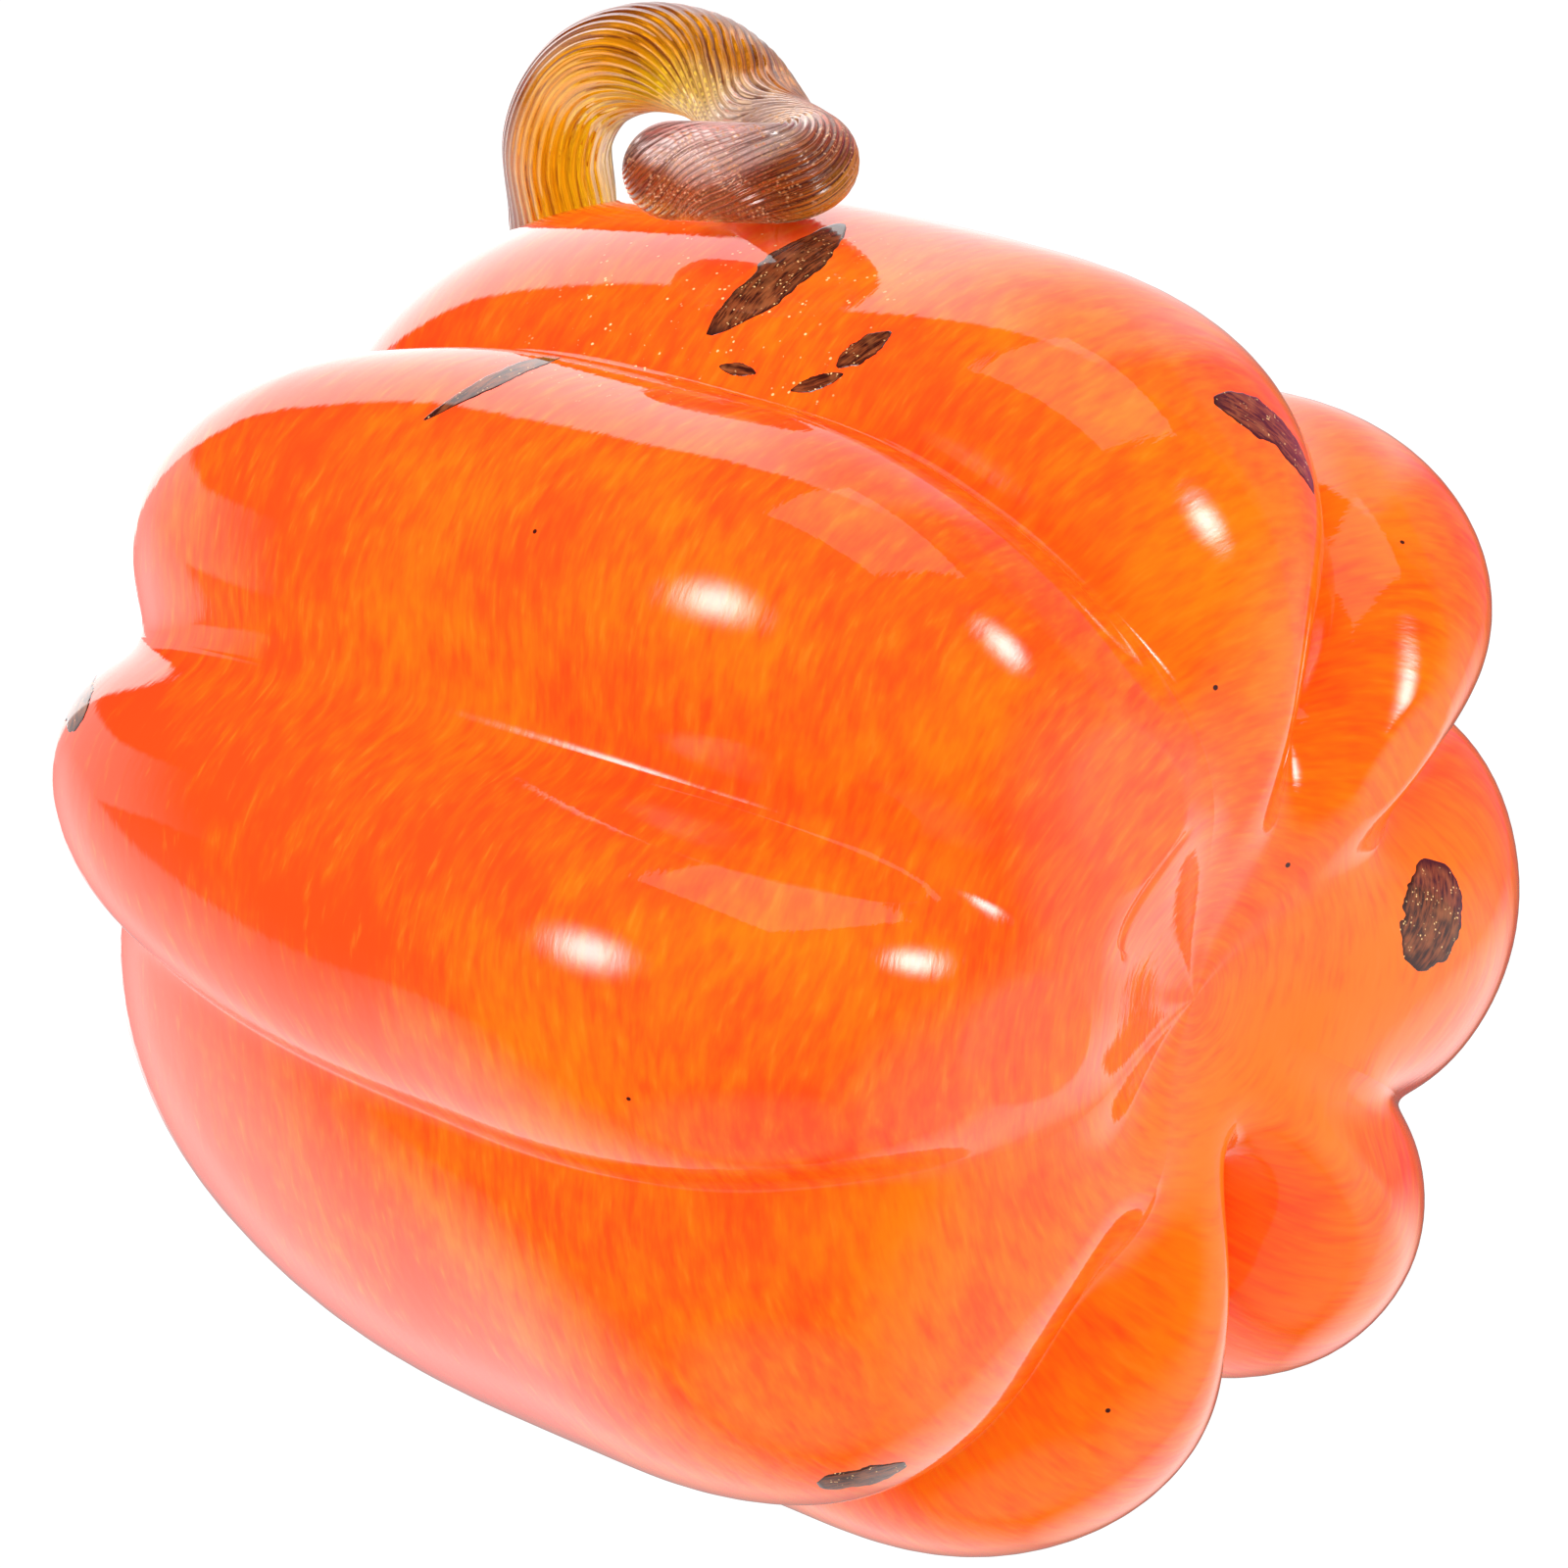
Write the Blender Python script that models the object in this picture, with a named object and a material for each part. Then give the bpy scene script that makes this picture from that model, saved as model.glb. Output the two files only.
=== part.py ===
"""A hand-blown glass pumpkin: a hollow eight-lobed bubble, goldstone chips set in its wall and a
curled, twisted glass stem that closes the crown. Metres, +Z up from the underside to the stem.
The origin is the centre of the underside, level with the flats that the pumpkin rests on."""

import bmesh
import bpy
import numpy as np
from mathutils import Vector

# ---------------------------------------------------------------- driving dimensions
BODY_RADIUS = 0.0645          # from the axis to a lobe's crest
WALL = 0.0040                 # thickness of the blown wall
GAP = 0.0003                  # clearance between glass pieces that touch on the real object
FLAT_DEPTH = 0.0013           # how much of the lowest lobe ends the marver has flattened
OPENING_RADIUS = 0.0088       # where the bubble was cracked off the blowpipe

# The crest profile is a superellipse in body radii, measured from the bubble's centre.
HEIGHT_BELOW = 0.751
HEIGHT_ABOVE = 1.288
FULLNESS_BELOW = 2.55
FULLNESS_ABOVE = 2.96
BASE_DIMPLE = (0.171, 0.352)  # depth and width of the punty dimple
CROWN_DIMPLE = (0.334, 0.313)  # depth and width of the hollow round the stem

# The optic mould's eight grooves, in degrees, then how far each one leans as it climbs, and how
# deep it is beside the others. Lobe n lies between groove n and the next.
GROOVE_AZIMUTHS = (-44.4, 15.4, 49.9, 94.7, 134.7, 176.3, 236.3, 273.6)
GROOVE_SKEWS = (-0.125, 0.255, 0.174, 0.004, -0.028, -0.075, 0.087, -0.054)
GROOVE_DEPTHS = (0.94, 0.88, 1.12, 0.79, 1.65, 0.90, 0.63, 1.01)
LOBE_SWELLS = (0.004, 0.027, -0.012, 0.012, -0.006, -0.039, 0.033, 0.038)
GROOVE_DEPTH = 0.145          # at the waist, in body radii
DEEPER_AT_BASE = 0.098
DEEPER_AT_CROWN = 0.081
END_SPAN = 0.75               # polar angle over which the ends' extra depth fades
SMOOTH_POLE = 0.34            # polar angle inside which the grooves melt away at the crown
SWELL_RISE = 1.3              # how soon a lobe's swell sets in from the poles
# Each groove rises out of the smooth base, is whole at its melt end, and may fade at the crown.
MELT_STARTS = 0.32            # share of the melt ends at which the grooves begin to show
MELT_ENDS = (1.20, 0.80, 0.95, 0.95, 0.70, 0.80, 1.00, 1.25)
CROWN_DEPTHS = (0.62, 1.0, 1.0, 1.0, 1.0, 1.0, 0.55, 0.22)
CROWN_SPAN = (1.2, 2.1)       # polar angles between which that fading sets in

# The CAD bubble's grid: steps across a lobe and rows from crown to base, outside and inside.
STEPS_ACROSS = 8
ROWS_OUTSIDE = 22
ROWS_INSIDE = 11

# The stem: a rod of drawn glass, flared where it was dropped on the crown, that arches over the
# shoulder of the bubble and curls back on itself. The points are in metres from the bubble's centre.
ROD_RADIUS = 0.0056
TIP_RADIUS = 0.0048
FLARE_RADIUS = 0.0120
FLARE_AT = 0.0140             # distance of the flare's widest ring from the plug's end
FLARE_RISE = 0.0045
FLARE_FALL = 0.0055
PLUG_CLEARANCE = 0.0013
PLUG_RADIUS = OPENING_RADIUS - PLUG_CLEARANCE
TIP_ROUNDING = 0.0050
STEM_SIDES = 12
STEM_RINGS = 72
CURVE_STEPS = 40              # steps between two of the stem's points when its curve is measured
STEM_POINTS = (
    (0.0, 0.0, 0.0570),
    (0.0, 0.0, 0.0690),
    (0.0060, 0.0005, 0.0815),
    (0.0190, 0.0035, 0.0895),
    (0.0350, 0.0070, 0.0880),
    (0.0488, 0.0070, 0.0780),
    (0.0557, -0.0011, 0.0730),
    (0.0622, -0.0094, 0.0688),
    (0.0678, -0.0142, 0.0625),
    (0.0710, -0.0179, 0.0531),
    (0.0718, -0.0190, 0.0446),
    (0.0706, -0.0195, 0.0384),
    (0.0682, -0.0201, 0.0333),
    (0.0661, -0.0228, 0.0275),
    (0.0651, -0.0263, 0.0208),
    (0.0642, -0.0297, 0.0159),
    (0.0623, -0.0338, 0.0147),
    (0.0608, -0.0367, 0.0180),
    (0.0597, -0.0377, 0.0230),
    (0.0581, -0.0391, 0.0293),
)

# The goldstone chips: the lobe, the bow and polar angle of the chip's middle, then its length,
# width, heading in degrees from the base-to-crown line, sideways bend, and how full its ends are.
CHIP_THICKNESS = 0.0010
CHIP_EDGE = 0.00015           # half the width of a chip's blunt ends
CHIP_STATIONS = 8             # steps along a chip's outline
POCKET_LIFT = 0.0030          # how far a pocket's cutter reaches out of the wall
PROBE = 1e-4                  # step in bow and polar angle for measuring slopes of the bubble
CHIPS = {
    "leaf": (0, -0.63, 1.79, 0.0235, 0.0070, -94, -0.0030, 0.9),
    "kite": (0, -0.88, 1.50, 0.0062, 0.0032, -66, 0.0, 0.9),
    "tail": (0, -1.13, 1.54, 0.0056, 0.0018, -35, 0.0, 0.9),
    "sliver": (0, -1.18, 1.69, 0.0045, 0.0014, 177, 0.0, 0.9),
    "blade": (7, 0.54, 1.92, 0.0175, 0.0034, -88, -0.0026, 0.9),
    "shard": (6, 0.48, 2.43, 0.0120, 0.0052, -160, 0.0, 0.6),
    "crescent": (0, 0.26, 1.01, 0.0160, 0.0060, 121, -0.0012, 0.7),
    "oval": (2, -0.31, 0.57, 0.0130, 0.0085, 133, 0.0006, 0.45),
    "flake": (4, -0.35, 2.05, 0.0140, 0.0046, 65, 0.0015, 0.8),
    "splinter": (3, 0.20, 1.45, 0.0110, 0.0030, -40, 0.0, 0.9),
    "spot": (5, -0.50, 1.10, 0.0090, 0.0050, 20, 0.0, 0.5),
}


def smoothstep(low, high, value):
    ratio = np.clip((value - low) / (high - low), 0.0, 1.0)
    return ratio * ratio * (3.0 - 2.0 * ratio)


def groove_azimuth(groove, polar):
    """A groove's azimuth at a polar angle, which is measured from the base's pole."""
    turns = groove // 8
    index = groove % 8
    return np.radians(GROOVE_AZIMUTHS[index] + 360.0 * turns) + GROOVE_SKEWS[index] * (polar - np.pi / 2)


def crest(polar):
    """Radius and height of the crest profile at a polar angle, in body radii."""
    sine = np.sin(polar)
    cosine = np.cos(polar)
    below = cosine > 0
    height = np.where(below, HEIGHT_BELOW, HEIGHT_ABOVE)
    power = np.where(below, FULLNESS_BELOW, FULLNESS_ABOVE)
    reach = (np.abs(sine) ** power + (np.abs(cosine) / height) ** power) ** (-1.0 / power)
    return reach * sine, -reach * cosine


def groove_depth(groove, polar):
    """A groove's depth beside the others at a polar angle."""
    index = groove % 8
    rising = smoothstep(MELT_STARTS * MELT_ENDS[index], MELT_ENDS[index], polar)
    fading = 1.0 + (CROWN_DEPTHS[index] - 1.0) * smoothstep(*CROWN_SPAN, polar)
    return GROOVE_DEPTHS[index] * rising * fading


def bubble(lobe, bow, polar):
    """A point of the bubble's outside. The bow angle crosses the lobe as round an arch, from
    minus a right angle in its first groove to a right angle in its second."""
    bow = np.asarray(bow, dtype=float)
    polar = np.asarray(polar, dtype=float)
    start = groove_azimuth(lobe, polar)
    share = (1.0 + np.sin(bow)) / 2.0
    azimuth = start + (groove_azimuth(lobe + 1, polar) - start) * share
    bulge = np.cos(bow)
    deeper = DEEPER_AT_BASE * np.exp(-((polar / END_SPAN) ** 2))
    deeper = deeper + DEEPER_AT_CROWN * np.exp(-(((np.pi - polar) / END_SPAN) ** 2))
    depth = groove_depth(lobe, polar) * (1.0 - share) + groove_depth(lobe + 1, polar) * share
    depth = depth * (GROOVE_DEPTH + deeper) * smoothstep(0.0, SMOOTH_POLE, np.pi - polar)
    swell = 1.0 + LOBE_SWELLS[lobe] * bulge * np.minimum(1.0, SWELL_RISE * np.sin(polar))
    radius, height = crest(polar)
    scale = swell * (1.0 - depth * (1.0 - bulge))
    radius = radius * scale
    height = height * scale
    base = BASE_DIMPLE[0] * np.exp(-((radius / BASE_DIMPLE[1]) ** 2)) * (polar < np.pi / 2)
    crown = CROWN_DIMPLE[0] * np.exp(-((radius / CROWN_DIMPLE[1]) ** 2)) * (polar > np.pi / 2)
    height = height + base - crown
    return BODY_RADIUS * np.stack([radius * np.cos(azimuth), radius * np.sin(azimuth), height], axis=-1)


def new_object(name, vertices, faces, color, roughness, transmission=0.0):
    """A named, smooth-shaded mesh object with a Principled material of its own."""
    mesh = bpy.data.meshes.new(name)
    mesh.from_pydata([tuple(vertex) for vertex in vertices], [], faces)
    mesh.update()
    item = bpy.data.objects.new(name, mesh)
    bpy.context.scene.collection.objects.link(item)
    material = bpy.data.materials.new(name)
    material.use_nodes = True
    shader = material.node_tree.nodes["Principled BSDF"]
    shader.inputs["Base Color"].default_value = (*color, 1.0)
    shader.inputs["Roughness"].default_value = roughness
    shader.inputs["Metallic"].default_value = 0.0
    shader.inputs["Transmission Weight"].default_value = transmission
    mesh.materials.append(material)
    mesh.shade_smooth()
    return item


def face_outwards(item):
    """Makes the faces of a closed mesh point out of the solid."""
    work = bmesh.new()
    work.from_mesh(item.data)
    bmesh.ops.recalc_face_normals(work, faces=work.faces)
    work.to_mesh(item.data)
    work.free()


def cut(item, cutter):
    """Takes the cutter out of the item with a Boolean that stays on the item."""
    cutter.hide_render = True
    cutter.display_type = "WIRE"
    boolean = item.modifiers.new("cut_" + cutter.name, "BOOLEAN")
    boolean.operation = "DIFFERENCE"
    boolean.solver = "EXACT"
    boolean.object = cutter


# ---------------------------------------------------------------- the blown bubble
def polar_at_radius(radius):
    """The polar angle near the crown where the bubble's outside is this far from the axis,
    found by halving the range between the shoulder and the pole."""
    low = np.pi * 0.75
    high = np.pi
    for _ in range(40):
        middle = (low + high) / 2
        point = bubble(0, 0.0, middle)
        if np.hypot(point[0], point[1]) > radius:
            low = middle
        else:
            high = middle
    return low


def ring_of_points(polar):
    """One row of the outside, closer together at the grooves than on the lobes' crests."""
    bow = np.pi * (np.arange(STEPS_ACROSS) / STEPS_ACROSS - 0.5)
    return np.concatenate([bubble(lobe, bow, np.full(STEPS_ACROSS, polar)) for lobe in range(8)])


def skin_rows(rows, shrink):
    """Rows of points from the crown's opening down to the base, scaled about the bubble's centre."""
    polars = np.linspace(polar_at_radius(OPENING_RADIUS / shrink), 0.0, rows + 1)[:-1]
    return [ring_of_points(polar) * shrink for polar in polars]


def base_pole(shrink):
    return bubble(0, 0.0, 0.0) * shrink


def add_skin(vertices, faces, rows, pole):
    """Adds quads between rows and a fan at the base pole, and returns the first row's indices."""
    count = len(rows[0])
    start = len(vertices)
    for row in rows:
        vertices.extend(row)
    vertices.append(pole)
    for row in range(len(rows) - 1):
        for step in range(count):
            here = start + row * count + step
            beside = start + row * count + (step + 1) % count
            faces.append((here, beside, beside + count, here + count))
    last = start + (len(rows) - 1) * count
    for step in range(count):
        faces.append((last + step, last + (step + 1) % count, len(vertices) - 1))
    return [start + step for step in range(count)]


def make_body():
    """The blown bubble: an outer and an inner skin joined round the crown's opening."""
    inner_scale = 1.0 - WALL / BODY_RADIUS
    vertices = []
    faces = []
    outer_rim = add_skin(vertices, faces, skin_rows(ROWS_OUTSIDE, 1.0), base_pole(1.0))
    inner_rim = add_skin(vertices, faces, skin_rows(ROWS_INSIDE, inner_scale), base_pole(inner_scale))
    count = len(outer_rim)
    inner_faces = [index for index, face in enumerate(faces) if min(face) >= inner_rim[0]]
    for index in inner_faces:
        faces[index] = tuple(reversed(faces[index]))
    for step in range(count):
        beside = (step + 1) % count
        faces.append((outer_rim[beside], outer_rim[step], inner_rim[step], inner_rim[beside]))
    body = new_object("body_shell", vertices, faces, (1.0, 0.22, 0.03), 0.05, 0.3)
    face_outwards(body)
    return body


def flatten_base(body):
    """Takes a thin slice off the lowest lobe ends, which gives the flats the pumpkin rests on."""
    low = min(vertex.co.z for vertex in body.data.vertices)
    size = 4 * BODY_RADIUS
    bpy.ops.mesh.primitive_cube_add(size=size, location=(0, 0, low + FLAT_DEPTH - size / 2))
    slab = bpy.context.object
    slab.name = "marver_plane"
    cut(body, slab)
    return low + FLAT_DEPTH


# ---------------------------------------------------------------- goldstone chips
def unit(vector):
    return vector / np.linalg.norm(vector)


def chip_grid(chip, margin, lift):
    """Points of a leaf-shaped patch of the bubble's outside, in rows along the chip.

    margin widens the leaf, and lift moves the points out along the wall's normal."""
    lobe, bow, polar, length, width, heading, bend, fullness = chip
    centre = bubble(lobe, bow, polar)
    per_bow = np.linalg.norm(bubble(lobe, bow + PROBE, polar) - centre) / PROBE
    per_polar = np.linalg.norm(bubble(lobe, bow, polar + PROBE) - centre) / PROBE
    half_length = length / 2 + margin
    turn = np.radians(heading)
    rows = []
    for station in range(CHIP_STATIONS + 1):
        along = -1.0 + 2.0 * station / CHIP_STATIONS
        half_width = (width / 2) * (1.0 - along**2) ** fullness + margin + CHIP_EDGE
        row = []
        for side in (-1.0, 0.0, 1.0):
            distance = along * half_length
            offset = side * half_width + bend * (1.0 - along**2)
            shift_polar = distance * np.cos(turn) - offset * np.sin(turn)
            shift_bow = distance * np.sin(turn) + offset * np.cos(turn)
            u = bow + shift_bow / per_bow
            v = polar + shift_polar / per_polar
            point = bubble(lobe, u, v)
            du = bubble(lobe, u + PROBE, v) - bubble(lobe, u - PROBE, v)
            dv = bubble(lobe, u, v + PROBE) - bubble(lobe, u, v - PROBE)
            normal = unit(np.cross(du, dv))
            if np.dot(normal, point) < 0:
                normal = -normal
            row.append(point + normal * lift)
        rows.append(row)
    return rows


def chip_solid(name, chip, margin, top, bottom):
    """A closed leaf-shaped plate between two lifts off the bubble's outside."""
    upper = chip_grid(chip, margin, top)
    lower = chip_grid(chip, margin, bottom)
    vertices = [point for row in upper for point in row] + [point for row in lower for point in row]
    half = len(vertices) // 2
    faces = []
    for row in range(CHIP_STATIONS):
        for column in range(2):
            corner = row * 3 + column
            faces.append((corner, corner + 1, corner + 4, corner + 3))
            faces.append((half + corner + 3, half + corner + 4, half + corner + 1, half + corner))
    edge = [row * 3 for row in range(CHIP_STATIONS + 1)]
    edge += [CHIP_STATIONS * 3 + 1]
    edge += [row * 3 + 2 for row in range(CHIP_STATIONS, -1, -1)]
    edge += [1]
    for index, here in enumerate(edge):
        beside = edge[(index + 1) % len(edge)]
        faces.append((here, beside, half + beside, half + here))
    item = new_object(name, vertices, faces, (0.22, 0.07, 0.03), 0.2)
    face_outwards(item)
    return item


def make_chips(body):
    """Each chip lies flush in a pocket of its own in the bubble's wall."""
    for name, chip in CHIPS.items():
        chip_solid("goldstone_" + name, chip, 0.0, 0.0, -CHIP_THICKNESS)
        pocket = chip_solid("pocket_" + name, chip, GAP, POCKET_LIFT, -CHIP_THICKNESS - GAP)
        cut(body, pocket)


# ---------------------------------------------------------------- the curled stem
def stem_centreline(count):
    """Evenly spaced points of a Catmull-Rom curve through the stem's own points."""
    knots = [np.array(point) for point in STEM_POINTS]
    knots = [2 * knots[0] - knots[1]] + knots + [2 * knots[-1] - knots[-2]]
    fine = []
    for index in range(1, len(knots) - 2):
        before, start, end, after = knots[index - 1:index + 3]
        for part in np.linspace(0.0, 1.0, CURVE_STEPS, endpoint=False):
            fine.append(0.5 * (2 * start + (end - before) * part
                               + (2 * before - 5 * start + 4 * end - after) * part**2
                               + (3 * start - before - 3 * end + after) * part**3))
    fine.append(knots[-2])
    fine = np.array(fine)
    lengths = np.concatenate([[0.0], np.cumsum(np.linalg.norm(np.diff(fine, axis=0), axis=1))])
    stations = np.linspace(0.0, lengths[-1], count)
    return np.stack([np.interp(stations, lengths, fine[:, axis]) for axis in range(3)], axis=1), stations


def stem_radius(distance, length):
    """The rod's radius along its length: plug, flare on the crown, drawn rod and rounded tip."""
    rod = ROD_RADIUS + (TIP_RADIUS - ROD_RADIUS) * smoothstep(0.6, 0.9, distance / length)
    if distance < FLARE_AT:
        return PLUG_RADIUS + (FLARE_RADIUS - PLUG_RADIUS) * smoothstep(FLARE_AT - FLARE_RISE, FLARE_AT, distance)
    fade = np.exp(-(((distance - FLARE_AT) / FLARE_FALL) ** 2))
    left = length - distance
    rounding = np.sqrt(np.clip(1.0 - ((TIP_ROUNDING - left) / TIP_ROUNDING) ** 2, 0.0, 1.0))
    return (rod + (FLARE_RADIUS - rod) * fade) * (rounding if left < TIP_ROUNDING else 1.0)


def make_stem():
    """Sweeps a round section along the stem's centre line without twisting it."""
    line, stations = stem_centreline(STEM_RINGS)
    tangents = np.gradient(line, axis=0)
    side = np.array([1.0, 0.0, 0.0])
    vertices = []
    faces = []
    angles = 2 * np.pi * np.arange(STEM_SIDES) / STEM_SIDES
    for index in range(STEM_RINGS - 1):
        tangent = unit(tangents[index])
        side = unit(side - tangent * np.dot(side, tangent))
        other = np.cross(tangent, side)
        radius = stem_radius(stations[index], stations[-1])
        ring = [line[index] + radius * (np.cos(a) * side + np.sin(a) * other) for a in angles]
        vertices.extend(ring)
    for index in range(STEM_RINGS - 2):
        for step in range(STEM_SIDES):
            here = index * STEM_SIDES + step
            beside = index * STEM_SIDES + (step + 1) % STEM_SIDES
            faces.append((here, beside, beside + STEM_SIDES, here + STEM_SIDES))
    foot = len(vertices)
    vertices.append(line[0])
    vertices.append(line[-1])
    last = (STEM_RINGS - 2) * STEM_SIDES
    for step in range(STEM_SIDES):
        beside = (step + 1) % STEM_SIDES
        faces.append((foot, beside, step))
        faces.append((foot + 1, last + step, last + beside))
    stem = new_object("stem", vertices, faces, (0.85, 0.42, 0.05), 0.05, 0.8)
    face_outwards(stem)
    return stem


# ---------------------------------------------------------------- the whole figure
def clear_scene():
    for item in list(bpy.data.objects):
        bpy.data.objects.remove(item, do_unlink=True)


def stand_on_origin(rest_height):
    """Moves every object so that the flats lie at z = 0 and the footprint is centred on the origin."""
    bpy.context.view_layer.update()
    solids = [item for item in bpy.data.objects if not item.hide_render]
    corners = np.array([vertex.co for item in solids for vertex in item.data.vertices])
    centre = (corners.min(axis=0) + corners.max(axis=0)) / 2
    for item in bpy.data.objects:
        item.location -= Vector((centre[0], centre[1], rest_height))


def main():
    clear_scene()
    body = make_body()
    make_chips(body)
    rest_height = flatten_base(body)
    make_stem()
    stand_on_origin(rest_height)


main()
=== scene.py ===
"""Looks for a hand-blown glass pumpkin: orange cased glass, goldstone chips and a twisted amber stem.

The bubble and the stem follow the CAD part's own formulas, on a finer grid. A place on the bubble
is a lobe, a bow and a polar angle. The bow crosses the lobe as round an arch, from minus a right
angle in its first groove to a right angle in its second, and the polar angle climbs from 0 at the
base to pi at the crown. Everything is in metres unless a comment says otherwise."""

import bpy
import numpy as np
from mathutils import Matrix, Vector, noise


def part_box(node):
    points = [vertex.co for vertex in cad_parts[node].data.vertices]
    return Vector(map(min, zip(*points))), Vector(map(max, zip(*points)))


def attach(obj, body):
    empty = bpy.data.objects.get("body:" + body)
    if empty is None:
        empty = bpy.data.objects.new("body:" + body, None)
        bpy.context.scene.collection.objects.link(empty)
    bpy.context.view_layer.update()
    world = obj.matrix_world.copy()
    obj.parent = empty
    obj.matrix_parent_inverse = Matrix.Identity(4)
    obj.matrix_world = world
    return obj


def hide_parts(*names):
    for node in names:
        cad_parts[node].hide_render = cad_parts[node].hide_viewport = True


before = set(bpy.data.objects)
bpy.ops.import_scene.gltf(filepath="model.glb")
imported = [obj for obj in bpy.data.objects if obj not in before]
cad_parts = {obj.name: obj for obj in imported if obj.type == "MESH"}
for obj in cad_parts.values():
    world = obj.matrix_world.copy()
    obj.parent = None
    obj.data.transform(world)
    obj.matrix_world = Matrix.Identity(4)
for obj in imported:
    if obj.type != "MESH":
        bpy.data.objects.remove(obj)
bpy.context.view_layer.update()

# ---------------------------------------------------------------- the bubble, as the CAD part shapes it
BODY_RADIUS = 0.0645          # from the axis to a lobe's crest
WALL = 0.0040
OPENING_RADIUS = 0.0088       # the hole in the crown that the stem closes

# The crest profile is a superellipse, in body radii from the bubble's centre.
HEIGHT_BELOW = 0.751
HEIGHT_ABOVE = 1.288
FULLNESS_BELOW = 2.55
FULLNESS_ABOVE = 2.96
BASE_DIMPLE = (0.171, 0.352)  # depth and width of the punty dimple
CROWN_DIMPLE = (0.334, 0.313)  # depth and width of the hollow round the stem

# The eight grooves in degrees, how far each leans as it climbs, and its depth beside the others.
GROOVE_AZIMUTHS = (-44.4, 15.4, 49.9, 94.7, 134.7, 176.3, 236.3, 273.6)
GROOVE_SKEWS = (-0.125, 0.255, 0.174, 0.004, -0.028, -0.075, 0.087, -0.054)
GROOVE_DEPTHS = (0.94, 0.88, 1.12, 0.79, 1.65, 0.90, 0.63, 1.01)
LOBE_SWELLS = (0.004, 0.027, -0.012, 0.012, -0.006, -0.039, 0.033, 0.038)
GROOVE_DEPTH = 0.145          # at the waist, in body radii
DEEPER_AT_BASE = 0.098
DEEPER_AT_CROWN = 0.081
END_SPAN = 0.75               # polar angle over which the ends' extra depth fades
SMOOTH_POLE = 0.34            # polar angle inside which the grooves melt away at the crown
SWELL_RISE = 1.3              # how soon a lobe's swell sets in from the poles

# Each groove rises out of the smooth base, is whole at its melt end, and may fade at the crown.
MELT_STARTS = 0.32            # share of the melt ends at which the grooves begin to show
MELT_ENDS = (1.20, 0.80, 0.95, 0.95, 0.70, 0.80, 1.00, 1.25)
CROWN_DEPTHS = (0.62, 1.0, 1.0, 1.0, 1.0, 1.0, 0.55, 0.22)
CROWN_SPAN = (1.2, 2.1)       # polar angles between which that fading sets in

CAD_STEPS_ACROSS = 8          # the CAD bubble's own grid, which places this one in the frame
CAD_ROWS = 22
SHOULDER = np.pi * 0.75       # a polar angle that is surely below the opening's edge
HALVINGS = 40                 # rounds of the search for that edge

# ---------------------------------------------------------------- finer shape that only the looks need
STEPS_ACROSS = 44             # across one lobe
ROWS_OUTSIDE = 260
ROWS_INSIDE = 40
CREASE_ROWS = (0.302, 0.458, 60)  # extra rows round the tool mark: from, to, how many
GROOVE_FILLETS = (0.060, 0.030, 0.030, 0.040, 0.030, 0.030, 0.055, 0.200)  # shares of half a lobe
FILLET_AT_BASE = 0.10         # how much wider the fillets grow towards the punty
FILLET_SPAN = 0.75            # polar angle over which that fades
SOFT_BASE = (0.36, 0.95)      # polar range over which the lobes blend into the smooth punty area
CREASE_POLARS = (0.335, 0.425)  # the crescent-shaped tool mark beside the punty: its lower and upper end
CREASE_SPAN = (-2.05, 0.62)   # where it starts and ends, in bows counted on from lobe 7
CREASE_WIDTH = 0.011          # in polar angle
CREASE_DEPTH = 0.0060         # share that it takes off the bubble's size
WOBBLE = 0.00035              # unevenness left by blowing and marvering
WOBBLE_SIZE = 0.022           # from one swell to the next

# ---------------------------------------------------------------- the stem, as the CAD part routes it
# Its points are measured from the bubble's centre.
ROD_RADIUS = 0.0056
TIP_RADIUS = 0.0048
DRAWN_SPAN = (0.6, 0.9)       # shares of the stem between which the rod thins to the tip's radius
FLARE_RADIUS = 0.0120
FLARE_AT = 0.0140             # distance of the flare's widest ring from the plug's end
FLARE_RISE = 0.0045
FLARE_FALL = 0.0055
PLUG_CLEARANCE = 0.0013
PLUG_RADIUS = OPENING_RADIUS - PLUG_CLEARANCE
TIP_ROUNDING = 0.0050
CURVE_STEPS = 400             # steps between two of the stem's points when its curve is measured
STEM_POINTS = (
    (0.0, 0.0, 0.0570),
    (0.0, 0.0, 0.0690),
    (0.0060, 0.0005, 0.0815),
    (0.0190, 0.0035, 0.0895),
    (0.0350, 0.0070, 0.0880),
    (0.0488, 0.0070, 0.0780),
    (0.0557, -0.0011, 0.0730),
    (0.0622, -0.0094, 0.0688),
    (0.0678, -0.0142, 0.0625),
    (0.0710, -0.0179, 0.0531),
    (0.0718, -0.0190, 0.0446),
    (0.0706, -0.0195, 0.0384),
    (0.0682, -0.0201, 0.0333),
    (0.0661, -0.0228, 0.0275),
    (0.0651, -0.0263, 0.0208),
    (0.0642, -0.0297, 0.0159),
    (0.0623, -0.0338, 0.0147),
    (0.0608, -0.0367, 0.0180),
    (0.0597, -0.0377, 0.0230),
    (0.0581, -0.0391, 0.0293),
)

# The optic ribs that are drawn out along the rod.
RIBS = 34
RIB_HEIGHTS = (0.00009, 0.00034)  # on the rising rod and at the curled end
RIB_SPAN = (0.55, 0.80)       # shares of the stem between which they grow
RIB_STEPS = 6                 # sides of the section for each rib
STEM_RINGS = 900
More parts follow.
